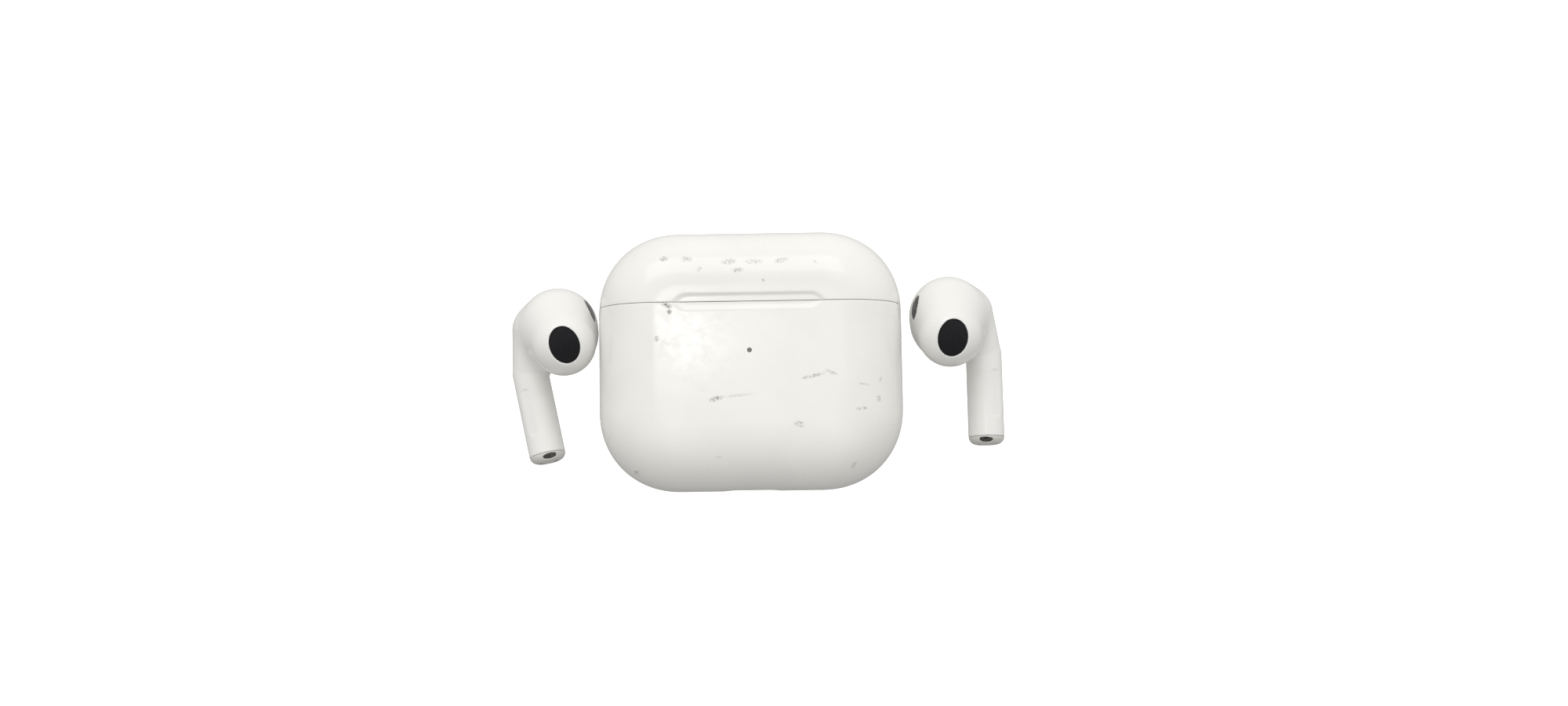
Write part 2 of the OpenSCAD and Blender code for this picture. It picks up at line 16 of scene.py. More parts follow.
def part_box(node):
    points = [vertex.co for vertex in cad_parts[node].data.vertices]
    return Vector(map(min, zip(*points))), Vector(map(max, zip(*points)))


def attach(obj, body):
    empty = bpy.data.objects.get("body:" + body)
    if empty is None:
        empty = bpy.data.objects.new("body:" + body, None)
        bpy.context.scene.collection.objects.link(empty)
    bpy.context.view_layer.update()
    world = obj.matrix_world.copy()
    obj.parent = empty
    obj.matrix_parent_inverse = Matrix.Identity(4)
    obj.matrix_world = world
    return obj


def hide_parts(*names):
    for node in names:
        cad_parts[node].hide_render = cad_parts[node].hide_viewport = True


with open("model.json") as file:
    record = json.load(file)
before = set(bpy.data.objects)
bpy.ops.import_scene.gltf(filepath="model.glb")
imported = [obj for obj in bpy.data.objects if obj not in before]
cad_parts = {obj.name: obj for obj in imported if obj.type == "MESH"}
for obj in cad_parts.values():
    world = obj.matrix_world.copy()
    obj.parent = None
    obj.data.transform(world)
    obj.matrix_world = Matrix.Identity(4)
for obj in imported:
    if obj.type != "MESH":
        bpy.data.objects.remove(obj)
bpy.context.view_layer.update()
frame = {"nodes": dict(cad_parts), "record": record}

MM = 0.001


def box_mm(node):
    lo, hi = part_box(node)
    return np.array(lo) / MM, np.array(hi) / MM


# ---------- sizes, in millimetres ----------

base_lo, base_hi = box_mm("base_shell")
lid_lo, lid_hi = box_mm("lid_shell")
CASE_W = base_hi[0] - base_lo[0]
CASE_H = lid_hi[1] - base_lo[1]
CASE_T = base_hi[2]
MID_Z = CASE_T / 2
BASE_TOP = base_hi[1]
LID_BOTTOM = lid_lo[1]
SEAM_Y = (BASE_TOP + LID_BOTTOM) / 2
EDGE_R = CASE_T / 2  # the case's edge is a full half round
CORNER_R = 14.6
CORNER_POWER = 2.1  # a little squarer than a circle
EDGE_POWER = 2.12
WALL = 1.2
SKIN = 1.25  # inset of the cradle and the lid's liner
CAVITY = 1.95  # inset of the hollow in the lid
LIP_INSET = 2.2
RIM_FILLET = 0.1
INNER_FILLET = 0.12
RIM_REACH = 0.02  # each rim is drawn this far into the seam, which makes its line finer
HINGE_Y, HINGE_Z = SEAM_Y, 1.0
HINGE_HALF_W = 11.6
HINGE_ROOM = 1.2  # radius kept free round the hinge's axis
RELIEF = math.tan(math.radians(51))
RELIEF_HALF_W = 22.0

RECESS_HALF_W, RECESS_HALF_H = 13.4, 1.62
RECESS_DEPTH = 0.34

LIGHT_Y = SEAM_Y - 8.6
LIGHT_R = 0.4
BUTTON_Y = -4.0
BUTTON_R = 3.2
PORT_W, PORT_T = 9.0, 3.4

# The earbud, about the centre of its head: stem down -Y, sound outlet up +Z
HEAD_R = 7.1
STEM_R = 3.28
STEM = np.array([6.7, -5.7, -4.0])  # top of the stem's axis
TIP_Y = -22.4
CAP_H = 1.4
NECK, NECK_R = np.array([3.9, 1.8, -2.2]), 4.5
NOSE, NOSE_R = np.array([-0.25, -3.4, 4.9]), 5.8
SPLIT_Z = 1.4
OUTLET_TILT = math.radians(16.5)
OUTLET_W, OUTLET_L = 5.3, 6.7
BUD_WALL = 0.8
LEFT_BUD_AT, LEFT_PITCH = (36.1, 7.3), math.radians(3.5)
RIGHT_BUD_AT, RIGHT_PITCH = (-34.9, 6.3), math.radians(6)
RIGHT_BUD_TURN, RIGHT_BUD_ROLL = math.radians(12.5), math.radians(7)  # this one leans towards the case

# An earbud stored in its well, mirrored in the plane that this angle gives
STORED_X = 14.2
STORED_TURN = math.radians(118.4)
WELL_GAP = 0.25
BLOCK_TOP = SEAM_Y + TIP_Y - 0.1
BLOCK_H = 2.0


# ---------- fields: negative inside, in millimetres ----------


def smooth_min(a, b, k):
    h = np.clip(0.5 + 0.5 * (b - a) / k, 0, 1)
    return b + (a - b) * h - k * h * (1 - h)


def smooth_max(a, b, k):
    return -smooth_min(-a, -b, k)


def slab(x, y, z, inset):
    """The case's outer form, shrunk all round by inset."""
    n, q = CORNER_POWER, EDGE_POWER
    px = np.maximum(np.abs(x) - (CASE_W / 2 - CORNER_R), 0)
    py = np.maximum(np.abs(y) - (CASE_H / 2 - CORNER_R), 0)
    across = (px**n + py**n) ** (1 / n)
    out = np.maximum(across - (CORNER_R - EDGE_R), 0)
    return (out**q + np.abs(z - MID_Z) ** q) ** (1 / q) - (EDGE_R - inset)


def ball(x, y, z, at, r):
    return np.sqrt((x - at[0]) ** 2 + (y - at[1]) ** 2 + (z - at[2]) ** 2) - r


def cone(x, y, z, a, b, ra, rb):
    """The exact distance to two balls, at a and b, and the cone that touches both."""
    a, b = np.asarray(a, float), np.asarray(b, float)
    d = b - a
    length, shrink = math.sqrt(d @ d), ra - rb
    slant = math.sqrt(length**2 - shrink**2)
    along = ((x - a[0]) * d[0] + (y - a[1]) * d[1] + (z - a[2]) * d[2]) / length
    far = (x - a[0]) ** 2 + (y - a[1]) ** 2 + (z - a[2]) ** 2
    out = np.sqrt(np.maximum(far - along**2, 0))
    foot = along - out * shrink / slant
    middle = (out * slant + along * shrink) / length - ra
    low = np.sqrt(far) - ra
    high = np.sqrt(out**2 + (along - length) ** 2) - rb
    return np.where(foot < 0, low, np.where(foot > length, high, middle))


def stadium(u, v, w, length):
    """Distance to a flat stadium of width w, its length along v."""
    return np.hypot(u, np.maximum(np.abs(v) - (length - w) / 2, 0)) - w / 2


def oval(u, v, w, length):
    """Nearly the distance to an ellipse."""
    k = np.hypot(u / (w / 2), v / (length / 2))
    return (k - 1) * np.minimum(w, length) / 2


def slope(field, p, h=1e-3):
    """The field's gradient at points p."""
    g = np.empty_like(p)
    for i in range(3):
        a, b = p.copy(), p.copy()
        a[:, i] += h
        b[:, i] -= h
        g[:, i] = (field(*a.T) - field(*b.T)) / (2 * h)
    return g


def surface_net(field, lo, hi, step):
    """The field's zero level as vertices and quads: one vertex in each cell that it crosses, drawn onto it."""
    axes = [np.arange(lo[i] - 1.5 * step, hi[i] + 2.5 * step, step) for i in range(3)]
    value = field(*np.meshgrid(*axes, indexing="ij", sparse=True))
    inside = value < 0
    cells = np.array(value.shape) - 1
    stride = np.array([cells[1] * cells[2], cells[2], 1])
    total, count, quads = np.zeros((3, cells.prod())), np.zeros(cells.prod()), []
    for axis in range(3):
        b, c = (axis + 1) % 3, (axis + 2) % 3
        low = [slice(1, -1)] * 3
        high = [slice(1, -1)] * 3
        low[axis], high[axis] = slice(0, -1), slice(1, None)
        low, high = tuple(low), tuple(high)
        at = np.array(np.nonzero(inside[low] != inside[high]))
        v0, v1 = value[low][tuple(at)], value[high][tuple(at)]
        first = at + 1
        first[axis] -= 1
        where = first.astype(float)
        where[axis] += v0 / (v0 - v1)
        ids = []
        for db, dc in ((0, 0), (-1, 0), (-1, -1), (0, -1)):
            cell = first.copy()
            cell[b] += db
            cell[c] += dc
            ids.append(stride @ cell)
        for cell in ids:
            count += np.bincount(cell, minlength=count.size)
            for i in range(3):
                total[i] += np.bincount(cell, weights=where[i], minlength=count.size)
        ring = np.array(ids).T
        ring[v0 > 0] = ring[v0 > 0][:, ::-1]
        quads.append(ring)
    used = np.nonzero(count)[0]
    number = np.zeros(count.size, int)
    number[used] = np.arange(used.size)
    origin = np.array([a[0] for a in axes])
    verts = origin + step * (total[:, used] / count[used]).T
    for _ in range(4):
        g = slope(field, verts)
        size = np.maximum((g**2).sum(1), 0.05)
        move = field(*verts.T)[:, None] * g / size[:, None]
        reach = np.linalg.norm(move, axis=1, keepdims=True)
        verts -= move * np.minimum(1, 0.35 * step / np.maximum(reach, 1e-9))
    return verts, number[np.vstack(quads)]


# ---------- pieces ----------


def new_piece(name, verts, faces, material, body, replaces=(), sharp=35, matrix=None):
    """A mesh piece from vertices in millimetres."""
    verts = np.asarray(verts, float)
    faces = [tuple(int(i) for i in f) for f in faces]
    if matrix is not None:
        verts = verts @ np.array(matrix.to_3x3()).T + np.array(matrix.translation)
        if matrix.determinant() < 0:
            faces = [f[::-1] for f in faces]
    mesh = bpy.data.meshes.new(name)
    mesh.from_pydata((verts * MM).tolist(), [], faces)
    mesh.validate()
    mesh.shade_smooth()
    mesh.set_sharp_from_angle(angle=math.radians(sharp))
    mesh.materials.append(material)
    piece = bpy.data.objects.new(name, mesh)
    bpy.context.scene.collection.objects.link(piece)
    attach(piece, body)
    if replaces:
        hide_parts(*replaces)
    return piece


def grid_faces(rows, columns):
    """Quads over closed rows of points, the first and last row not capped."""
    faces = []
    for i in range(rows - 1):
        for j in range(columns):
            k = (j + 1) % columns
            faces.append((i * columns + j, i * columns + k, (i + 1) * columns + k, (i + 1) * columns + j))
    return faces


def cut(piece, cutter):
    """Cuts a closed mesh out of the piece for good."""
    modifier = piece.modifiers.new("cut", "BOOLEAN")
    modifier.operation, modifier.object, modifier.solver = "DIFFERENCE", cutter, "EXACT"
    graph = bpy.context.evaluated_depsgraph_get()
    made = bpy.data.meshes.new_from_object(piece.evaluated_get(graph))
    old, piece.data = piece.data, made
    piece.modifiers.clear()
    bpy.data.meshes.remove(old)
    bpy.data.objects.remove(cutter)
    piece.data.set_sharp_from_angle(angle=math.radians(35))


def prism(outline, a, b, axis):
    """A cutter: a closed outline in millimetres swept from a to b along an axis (1 is Y, 2 is Z)."""
    rows = []
    for level in (a, b):
        for u, v in outline:
            rows.append((u, level, v) if axis == 1 else (u, v, level))
    n = len(outline)
    faces = grid_faces(2, n) + [tuple(range(n))[::-1], tuple(range(n, 2 * n))]
    mesh = bpy.data.meshes.new("cutter")
    mesh.from_pydata((np.array(rows) * MM).tolist(), [], faces)
    mesh.validate()
    face_outwards(mesh)
    piece = bpy.data.objects.new("cutter", mesh)
    bpy.context.scene.collection.objects.link(piece)
    return piece


def face_outwards(mesh):
    bm = bmesh.new()
    bm.from_mesh(mesh)
    bmesh.ops.recalc_face_normals(bm, faces=bm.faces)
    bm.to_mesh(mesh)
    bm.free()


def circle(r, n, u0=0.0, v0=0.0):
    turn = np.linspace(0, 2 * math.pi, n, endpoint=False)
    return np.stack([u0 + r * np.cos(turn), v0 + r * np.sin(turn)], 1)


def stadium_outline(w, length, n, v0):
    """Points round a stadium at height v0, its length along u."""
    turn = np.linspace(-math.pi / 2, math.pi / 2, n)
    half = (length - w) / 2
    right = np.stack([half + w / 2 * np.cos(turn), v0 + w / 2 * np.sin(turn)], 1)
    left = np.stack([-half - w / 2 * np.cos(turn), v0 - w / 2 * np.sin(turn)], 1)
    return np.vstack([right, left])


def lathe(profile, n, place):
    """Turns a closed profile of (radius, height) points about +Z, then places it by a matrix."""
    turn = np.linspace(0, 2 * math.pi, n, endpoint=False)
    rows = [[(r * math.cos(t), r * math.sin(t), h) for t in turn] for r, h in profile]
    verts = np.array(rows).reshape(-1, 3)
    faces = grid_faces(len(profile), n) + [tuple(range(n))[::-1]]
    faces.append(tuple(range((len(profile) - 1) * n, len(profile) * n)))
    verts = verts @ np.array(place.to_3x3()).T + np.array(place.translation)
    return verts, faces


# ---------- materials ----------


class Nodes:
    """Short names for building a node material on object coordinates in millimetres."""

    def __init__(self, name):
        self.material = bpy.data.materials.new(name)
        self.material.use_nodes = True
        self.tree = self.material.node_tree
        self.shader = self.tree.nodes["Principled BSDF"]
        coordinates = self.add("ShaderNodeTexCoord")
        self.mm = self.add("ShaderNodeVectorMath", operation="SCALE")
        self.link(coordinates.outputs["Object"], self.mm.inputs[0])
        self.mm.inputs["Scale"].default_value = 1 / MM
        self.at = self.mm.outputs[0]

    def add(self, kind, **values):
        node = self.tree.nodes.new(kind)
        for key, value in values.items():
            setattr(node, key, value)
        return node

    def link(self, a, b):
        self.tree.links.new(a, b)

    def set(self, **values):
        for key, value in values.items():
            self.shader.inputs[key.replace("_", " ")].default_value = value

    def place(self, at=(0, 0, 0), turn=(0, 0, 0), scale=(1, 1, 1)):
        """Coordinates about a point, turned and scaled."""
        node = self.add("ShaderNodeMapping", vector_type="TEXTURE")
        self.link(self.at, node.inputs["Vector"])
        node.inputs["Location"].default_value = at
        node.inputs["Rotation"].default_value = turn
        node.inputs["Scale"].default_value = scale
        return node.outputs[0]

    def noise(self, per_mm, detail=3.0, at=None, rough=0.5, distortion=0.0):
        node = self.add("ShaderNodeTexNoise")
        self.link(at or self.at, node.inputs["Vector"])
        node.inputs["Scale"].default_value = per_mm
        node.inputs["Detail"].default_value = detail
        node.inputs["Roughness"].default_value = rough
        node.inputs["Distortion"].default_value = distortion
        return node.outputs["Fac"]

    def fit(self, value, a, b, c=0.0, d=1.0):
        """The value from a..b to c..d, smoothly and held at the ends."""
        node = self.add("ShaderNodeMapRange", interpolation_type="SMOOTHSTEP")
        self.link(value, node.inputs["Value"])
        for key, number in zip(("From Min", "From Max", "To Min", "To Max"), (a, b, c, d), strict=True):
            node.inputs[key].default_value = number
        return node.outputs[0]

    def math(self, operation, a, b):
        node = self.add("ShaderNodeMath", operation=operation)
        for socket, value in zip(node.inputs[:2], (a, b), strict=True):
            if isinstance(value, (int, float)):
                socket.default_value = value
            else:
                self.link(value, socket)
        return node.outputs[0]

    def mix(self, factor, a, b):
        node = self.add("ShaderNodeMix", data_type="RGBA")
        self.link(factor, node.inputs["Factor"])
        for socket, value in ((node.inputs["A"], a), (node.inputs["B"], b)):
            if isinstance(value, tuple):
                socket.default_value = (*value, 1)
            else:
                self.link(value, socket)
        return node.outputs["Result"]

    def bump(self, height, strength, distance_mm):
        node = self.add("ShaderNodeBump")
        self.link(height, node.inputs["Height"])
        node.inputs["Strength"].default_value = strength
        node.inputs["Distance"].default_value = distance_mm * MM
        self.link(node.outputs[0], self.shader.inputs["Normal"])

    def to(self, value, key):
        self.link(value, self.shader.inputs[key])


SCUFF_REACH = 12  # keeps the front's scuffs off the back
SCUFF_GREY = (0.25, 0.24, 0.23)


def white_plastic(name, light, dark, rough=0.12, scuffs=(), scratches=1.0, height=CASE_T):
    """Glossy white moulded plastic with fine hairlines.

    Scuffs are (x, y, length, width, angle, strength), near a height and no further than SCUFF_REACH from it.
    """
    m = Nodes(name)
    cloud = m.noise(0.09, 2)
    colour = m.mix(m.fit(cloud, 0.35, 0.65), light, dark)
    mark = None
    for x, y, length, width, angle, strength in scuffs:
        turned = m.place((x, y, height), (0, 0, math.radians(angle)), (length / 2, width / 2, SCUFF_REACH))
        reach = m.add("ShaderNodeVectorMath", operation="LENGTH")
        m.link(turned, reach.inputs[0])
        worn = m.math("MULTIPLY", m.fit(reach.outputs["Value"], 1.0, 0.35), strength)
        mark = worn if mark is None else m.math("MAXIMUM", mark, worn)
    hair = None
    for angle, per_mm in ((18, 2.2), (-37, 2.6), (71, 1.9)):
        lines = m.place(turn=(0, 0, math.radians(angle)), scale=(9, 0.35, 1.5))
        line = m.fit(m.noise(per_mm, 1, lines, 0.4, 0.3), 0.665, 0.70, 0, scratches)
        hair = line if hair is None else m.math("MAXIMUM", hair, line)
    patchy = m.fit(m.noise(0.35, 2), 0.42, 0.62)
    hair = m.math("MULTIPLY", hair, patchy)
    gloss = m.fit(m.noise(0.6, 4), 0.3, 0.7, rough - 0.02, rough + 0.03)
    roughness = m.math("ADD", gloss, m.math("MULTIPLY", hair, 0.16))
    if mark is not None:
        grain = m.fit(m.noise(2.2, 6, rough=0.7), 0.4, 0.58)
        worn = m.math("MULTIPLY", mark, grain)
        colour = m.mix(worn, colour, SCUFF_GREY)
        roughness = m.math("ADD", roughness, m.math("MULTIPLY", mark, 0.25))
    m.to(colour, "Base Color")
    m.to(roughness, "Roughness")
    m.bump(m.math("ADD", m.noise(1.4, 3), m.math("MULTIPLY", hair, 0.5)), 0.12, 0.004)
    m.set(IOR=1.5, Specular_IOR_Level=0.5)
    return m.material


def moulded(name, colour, other, rough, per_mm=4.0, depth=0.01, metallic=0.0):
    """Plain moulded plastic, card or film with a fine grain."""
    m = Nodes(name)
    m.to(m.mix(m.fit(m.noise(per_mm, 3), 0.35, 0.65), colour, other), "Base Color")
    m.to(m.fit(m.noise(per_mm / 2, 2), 0.3, 0.7, rough - 0.06, rough + 0.08), "Roughness")
    m.bump(m.noise(per_mm * 2, 2), 0.2, depth)
    m.set(Metallic=metallic)
    return m.material


def brushed(name, colour, other, rough, stretch=(0.15, 6, 6)):
    """Metal with fine lines along X."""
    m = Nodes(name)
    lines = m.place(scale=tuple(1 / s for s in stretch))
    grain = m.noise(1.2, 4, lines)
    m.to(m.mix(m.fit(grain, 0.3, 0.7), colour, other), "Base Color")
    m.to(m.fit(grain, 0.3, 0.7, rough - 0.06, rough + 0.1), "Roughness")
    m.bump(grain, 0.15, 0.01)
    m.set(Metallic=1.0)
    return m.material


def circuit(name):
    """Solder mask with tracks and dull copper pads."""
    m = Nodes(name)
    tracks = m.add("ShaderNodeTexBrick")
    m.link(m.place(scale=(0.8, 0.8, 0.8), turn=(math.radians(90), 0, 0)), tracks.inputs["Vector"])
    tracks.inputs["Color1"].default_value = (0.01, 0.09, 0.045, 1)
    tracks.inputs["Color2"].default_value = (0.015, 0.12, 0.06, 1)
    tracks.inputs["Mortar"].default_value = (0.03, 0.2, 0.1, 1)
    tracks.inputs["Scale"].default_value = 1.0
    tracks.inputs["Mortar Size"].default_value = 0.06
    m.to(tracks.outputs["Color"], "Base Color")
    m.to(m.fit(m.noise(1.5), 0.3, 0.7, 0.3, 0.45), "Roughness")
    m.bump(tracks.outputs["Fac"], 0.3, 0.03)
    return m.material


def wound(name):
    """Enamelled copper wire, wound round the coil's centre."""
    m = Nodes(name)
    rings = m.add("ShaderNodeTexWave", wave_type="RINGS", rings_direction="Z")
    m.link(m.place((0, BUTTON_Y - 0.4, 0)), rings.inputs["Vector"])
    rings.inputs["Scale"].default_value = 1.06
    m.to(m.mix(rings.outputs["Fac"], (0.45, 0.17, 0.07), (0.85, 0.42, 0.22)), "Base Color")
    m.to(m.fit(m.noise(3), 0.3, 0.7, 0.25, 0.4), "Roughness")
    m.bump(rings.outputs["Fac"], 0.4, 0.05)
    m.set(Metallic=1.0)
    return m.material


def dark_lens(name, colour, rough=0.12):
    """A dark window with a faint stain of colour under its gloss."""
    m = Nodes(name)
    m.to(m.mix(m.fit(m.noise(0.8, 2), 0.3, 0.7), colour, tuple(c * 1.6 for c in colour)), "Base Color")
    m.to(m.fit(m.noise(2.5, 3), 0.3, 0.7, rough - 0.03, rough + 0.05), "Roughness")
    m.bump(m.noise(3, 2), 0.05, 0.004)
    return m.material


# Scuffs on the case's front, given in millimetres: x, y, length, width, angle, strength
CASE_SCUFFS = (
    (-14.3, 9.1, 2.4, 1.1, -15, 1.0),
    (-13.9, 8.0, 1.2, 1.2, 0, 0.9),
    (-16.1, 3.3, 1.3, 1.3, 60, 0.6),
    (-5.9, -7.3, 3.2, 1.2, 15, 0.75),
    (-2.2, -6.8, 7.0, 0.7, 5, 0.3),
    (10.9, -3.6, 5.6, 0.9, 12, 0.55),
    (14.2, -3.0, 3.0, 0.8, -20, 0.5),
    (8.5, -11.9, 2.6, 1.4, -20, 0.6),
    (19.4, -9.3, 2.6, 0.9, 5, 0.6),
    (22.4, -7.6, 1.2, 1.6, 10, 0.45),
    (19.9, -5.1, 2.6, 0.6, -10, 0.35),
    (22.8, -4.2, 1.2, 0.8, 80, 0.4),
    (-5.6, -17.5, 1.8, 0.8, 0, 0.45),
    (-20.2, -19.8, 1.4, 1.1, -30, 1.0),
    (17.9, -19.0, 2.2, 1.2, 60, 0.35),
    (-14.8, 17.5, 2.2, 1.3, 10, 0.6),
    (-10.8, 17.4, 2.6, 1.6, -10, 0.5),
    (-8.6, 15.5, 1.4, 1.0, 40, 0.5),
    (-3.4, 16.8, 3.4, 1.6, 5, 0.45),
    (1.0, 16.7, 4.0, 1.2, 0, 0.45),
    (-1.9, 15.2, 2.8, 1.2, 0, 0.6),
    (2.6, 13.3, 1.0, 0.6, -50, 0.7),
    (5.8, 16.9, 3.4, 1.3, 10, 0.5),
    (11.7, 16.4, 1.2, 0.8, -40, 0.5),
)
BUD_SCUFFS = ((39.9, -17.9, 1.0, 0.6, -30, 0.6), (-43.1, 11.6, 1.0, 0.7, 20, 0.3))

CASE_WHITE = white_plastic("case_white", (0.87, 0.865, 0.84), (0.845, 0.84, 0.815), 0.14, CASE_SCUFFS)
INNER_WHITE = white_plastic("inner_white", (0.84, 0.83, 0.81), (0.82, 0.81, 0.79), 0.2, scratches=0.4)
BUD_WHITE = white_plastic("bud_white", (0.85, 0.848, 0.83), (0.83, 0.828, 0.81), 0.1, BUD_SCUFFS, 0.3, 5.0)
# The end cap's colour is darker than the bud's white: partly its off-white tone, partly painted shade of the tip's
# end, which faces away from the light.
CAP_TONE_AND_SHADE = white_plastic("cap_tone_and_shade", (0.70, 0.69, 0.65), (0.62, 0.61, 0.57), 0.2, scratches=0.3)
STEEL = brushed("hinge_steel", (0.66, 0.66, 0.67), (0.5, 0.5, 0.51), 0.28)
SCREW = brushed("screw_steel", (0.4, 0.4, 0.42), (0.3, 0.3, 0.32), 0.35, (3, 3, 3))
PORT_METAL = brushed("port_metal", (0.75, 0.75, 0.76), (0.6, 0.6, 0.61), 0.22)
TIP_METAL = brushed("tip_metal", (0.62, 0.62, 0.61), (0.5, 0.5, 0.49), 0.25, (2, 2, 2))
GOLD = brushed("gold_contact", (0.83, 0.6, 0.25), (0.7, 0.48, 0.18), 0.22, (2, 2, 2))
MESH_BLACK = moulded("mesh_black", (0.004, 0.0045, 0.007), (0.009, 0.010, 0.014), 0.55, 12, 0.004)
MIC_GREY = moulded("mic_grey", (0.03, 0.03, 0.03), (0.2, 0.2, 0.19), 0.4, 3, 0.004)
MESH_BACK = moulded("mesh_back", (0.002, 0.002, 0.003), (0.004, 0.004, 0.005), 0.8, 6)
DARK = moulded("dark_plastic", (0.02, 0.02, 0.022), (0.035, 0.035, 0.038), 0.45, 3, 0.02)
LENS = dark_lens("sensor_window", (0.055, 0.055, 0.058))
LIGHT_WINDOW = dark_lens("light_window", (0.14, 0.135, 0.125), 0.25)
FLEX = moulded("flex_circuit", (0.55, 0.24, 0.05), (0.42, 0.17, 0.03), 0.35, 1.2)
FOIL = moulded("cell_foil", (0.32, 0.33, 0.35), (0.24, 0.25, 0.27), 0.42, 0.8, 0.05, 0.8)
CELL_STEEL = brushed("cell_steel", (0.62, 0.62, 0.63), (0.5, 0.5, 0.51), 0.3, (1, 1, 1))
CHIP = moulded("chip_black", (0.015, 0.015, 0.017), (0.03, 0.03, 0.033), 0.55, 6)
FERRITE = moulded("ferrite", (0.03, 0.03, 0.034), (0.06, 0.058, 0.06), 0.6, 2, 0.03)
MAGNET = brushed("magnet", (0.7, 0.7, 0.72), (0.6, 0.6, 0.62), 0.18, (1, 1, 1))
BOARD = circuit("circuit_board")
COPPER = wound("copper_wire")

NODE_MATERIALS = {
    "shell_plastic": CASE_WHITE,
    "inner_plastic": INNER_WHITE,
    "bud_plastic": BUD_WHITE,
    "hinge_steel": STEEL,
    "screw_steel": SCREW,
    "cell_foil": FOIL,
    "cell_steel": CELL_STEEL,
    "flex_circuit": FLEX,
    "circuit_board": BOARD,
    "chip_black": CHIP,
    "copper_wire": COPPER,
    "ferrite": FERRITE,
    "magnet": MAGNET,
    "port_metal": PORT_METAL,
    "dark_plastic": DARK,
    "gold_contact": GOLD,
    "light_window": LIGHT_WINDOW,
    "black_mesh": MESH_BLACK,
    "sensor_window": LENS,
    "tip_metal": TIP_METAL,
}
for part in frame["record"]["subparts"]:
    for material_slot in frame["nodes"][part["node"]].material_slots:
        material_slot.material = NODE_MATERIALS[part["material_slot"]]


# ---------- case shells ----------

COLUMNS = 512
AROUND = np.linspace(0, 2 * math.pi, COLUMNS, endpoint=False)


def ray_out(centre_y, lift, inset, side):
    """Where rays from the case's axis at centre_y meet the form: round the axis, tipped by lift towards side."""
    direction = np.stack(
        [np.cos(AROUND) * math.cos(lift), np.full(COLUMNS, side * math.sin(lift)), np.sin(AROUND) * math.cos(lift)], 1
    )
    origin = np.stack([np.zeros(COLUMNS), np.broadcast_to(centre_y, COLUMNS), np.full(COLUMNS, MID_Z)], 1)
    near, far = np.zeros(COLUMNS), np.full(COLUMNS, 60.0)
    for _ in range(40):
        middle = (near + far) / 2
        outside = slab(*(origin + middle[:, None] * direction).T, inset) > 0
        near, far = np.where(outside, near, middle), np.where(outside, middle, far)
    return origin + near[:, None] * direction


def rim_relief(points):
    """How far the seam's rim is cut back, so that the lid can swing round the hinge."""
    x = points[:, 0]
    z = np.where(points[:, 2] < MID_Z, points[:, 2], CASE_T)
    fade = np.clip((RELIEF_HALF_W + 0.7 - np.abs(x)) / 0.7, 0, 1)
    groove = RELIEF * np.maximum(HINGE_Z - z, 0) * fade
    hinge = np.sqrt(np.maximum(HINGE_ROOM**2 - (z - HINGE_Z) ** 2, 0))
    beside = np.clip((HINGE_HALF_W + 1.0 - np.abs(x)) / 0.8, 0, 1)
    return np.maximum(groove, hinge * beside)


def recess_depth(x, y):
    """Depth of the thumb recess: a long rounded lozenge, its wall crisp in the lid and soft in the base."""
    rise = y - SEAM_Y
    wall = np.where(rise > 0, 0.6, 1.3)
    side = (np.abs(x) - RECESS_HALF_W + 0.85 * np.abs(rise)) * 0.76
    out = smooth_max(np.abs(rise) - RECESS_HALF_H, side, 0.9)
    t = np.clip(-out / wall, 0, 1)
    return RECESS_DEPTH * t * t * (3 - 2 * t)


def cup(edge_y, side):
    """A closed cup along Y: an outer face, a rounded rim at edge_y and an inner face.

    side is +1 if it opens downwards. Its front is dented by the thumb recess.
    """
    turns = np.linspace(0, math.pi / 2, 5)
    rim = [(RIM_FILLET * (1 - math.cos(t)), RIM_FILLET * (1 - math.sin(t))) for t in turns]
    middle = [(WALL * f, 0.0) for f in (0.35, 0.5, 0.65, 0.8)]
    back = [(WALL - INNER_FILLET, 0.0), (WALL - 0.035, 0.035), (WALL, INNER_FILLET)]
    rows = []
    for inset, drop in rim + middle + back:
        cut_back = rim_relief(ray_out(edge_y, 0, inset, side))
        rows.append(ray_out(edge_y + side * (drop + cut_back), 0, inset, side))
    near = np.radians(0.75) * np.arange(1, 14)
    lifts = np.concatenate([near, np.linspace(near[-1], math.pi / 2, 66)[1:-1]])
    start_out = RIM_FILLET + rim_relief(ray_out(edge_y, 0, 0, side))
    out_rows = [ray_out(edge_y + side * start_out, a, 0, side) for a in lifts]
    start_in = INNER_FILLET + rim_relief(ray_out(edge_y, 0, WALL, side))
    in_rows = [ray_out(edge_y + side * start_in, a, WALL, side) for a in lifts[::2]]
    pole_out = ray_out(edge_y, math.pi / 2, 0, side)[:1]
    pole_in = ray_out(edge_y, math.pi / 2, WALL, side)[:1]
    rows = out_rows[::-1] + rows + in_rows
    verts = np.vstack(rows)
    outside = verts[: (len(out_rows) + len(rim)) * COLUMNS]
    outside[:, 2] -= np.where(outside[:, 2] > MID_Z, recess_depth(outside[:, 0], outside[:, 1]), 0)
    faces = grid_faces(len(rows), COLUMNS)
    n = len(verts)
    verts = np.vstack([verts, pole_out, pole_in])
    for j in range(COLUMNS):
        k = (j + 1) % COLUMNS
        faces.append((n, k, j))
        faces.append((n + 1, n - COLUMNS + j, n - COLUMNS + k))
    if side > 0:
        faces = [f[::-1] for f in faces]
    return verts, faces


